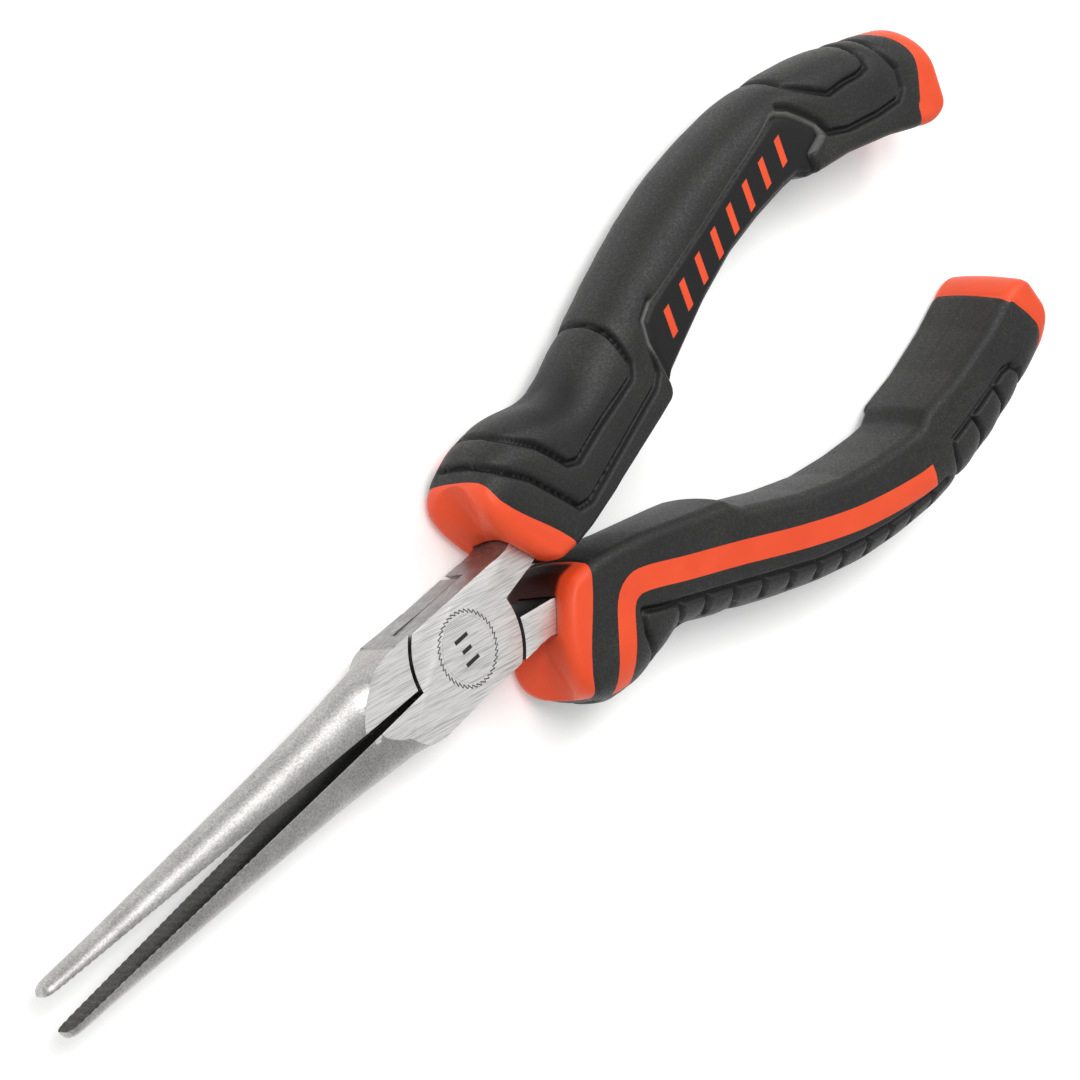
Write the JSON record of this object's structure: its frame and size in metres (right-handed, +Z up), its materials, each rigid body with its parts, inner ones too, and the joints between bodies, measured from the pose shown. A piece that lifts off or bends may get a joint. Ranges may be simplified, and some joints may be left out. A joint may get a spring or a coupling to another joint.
{
  "type": "needle nose pliers",
  "caption": "Slim long-nose gripping pliers with a lap joint and curved two-colour cushioned handles, lying flat with the jaws slightly open.",
  "frame": {"origin": "centre of the bounding box in plan, on the plane the grips rest on", "axes": "+X from the handle ends to the jaw tips, +Z up out of the flat face, so the hinge axis is parallel to +Z"},
  "size_m": [0.1142, 0.0384, 0.0077],
  "materials": {
    "steel": "brushed flat faces, satin blasted jaws",
    "orange_core": "satin moulded",
    "black_overmould": "fine grained, soft touch"
  },
  "bodies": {
    "upper_lap_half": {"handle_half_upper_lap": "steel", "pivot_rivet": "steel", "grip_core_thumb_side": "orange_core", "grip_sleeve_thumb_side": "black_overmould"},
    "lower_lap_half": {"handle_half_lower_lap": "steel", "grip_core_finger_side": "orange_core", "grip_sleeve_finger_side": "black_overmould"}
  },
  "joints": [
    {"name": "jaw_hinge", "type": "hinge", "parent": "upper_lap_half", "child": "lower_lap_half", "pos_m": [0.01474, 0, 0.00384], "axis": [0, 0, -1], "range_deg": [-3.7, 60]}
  ]
}
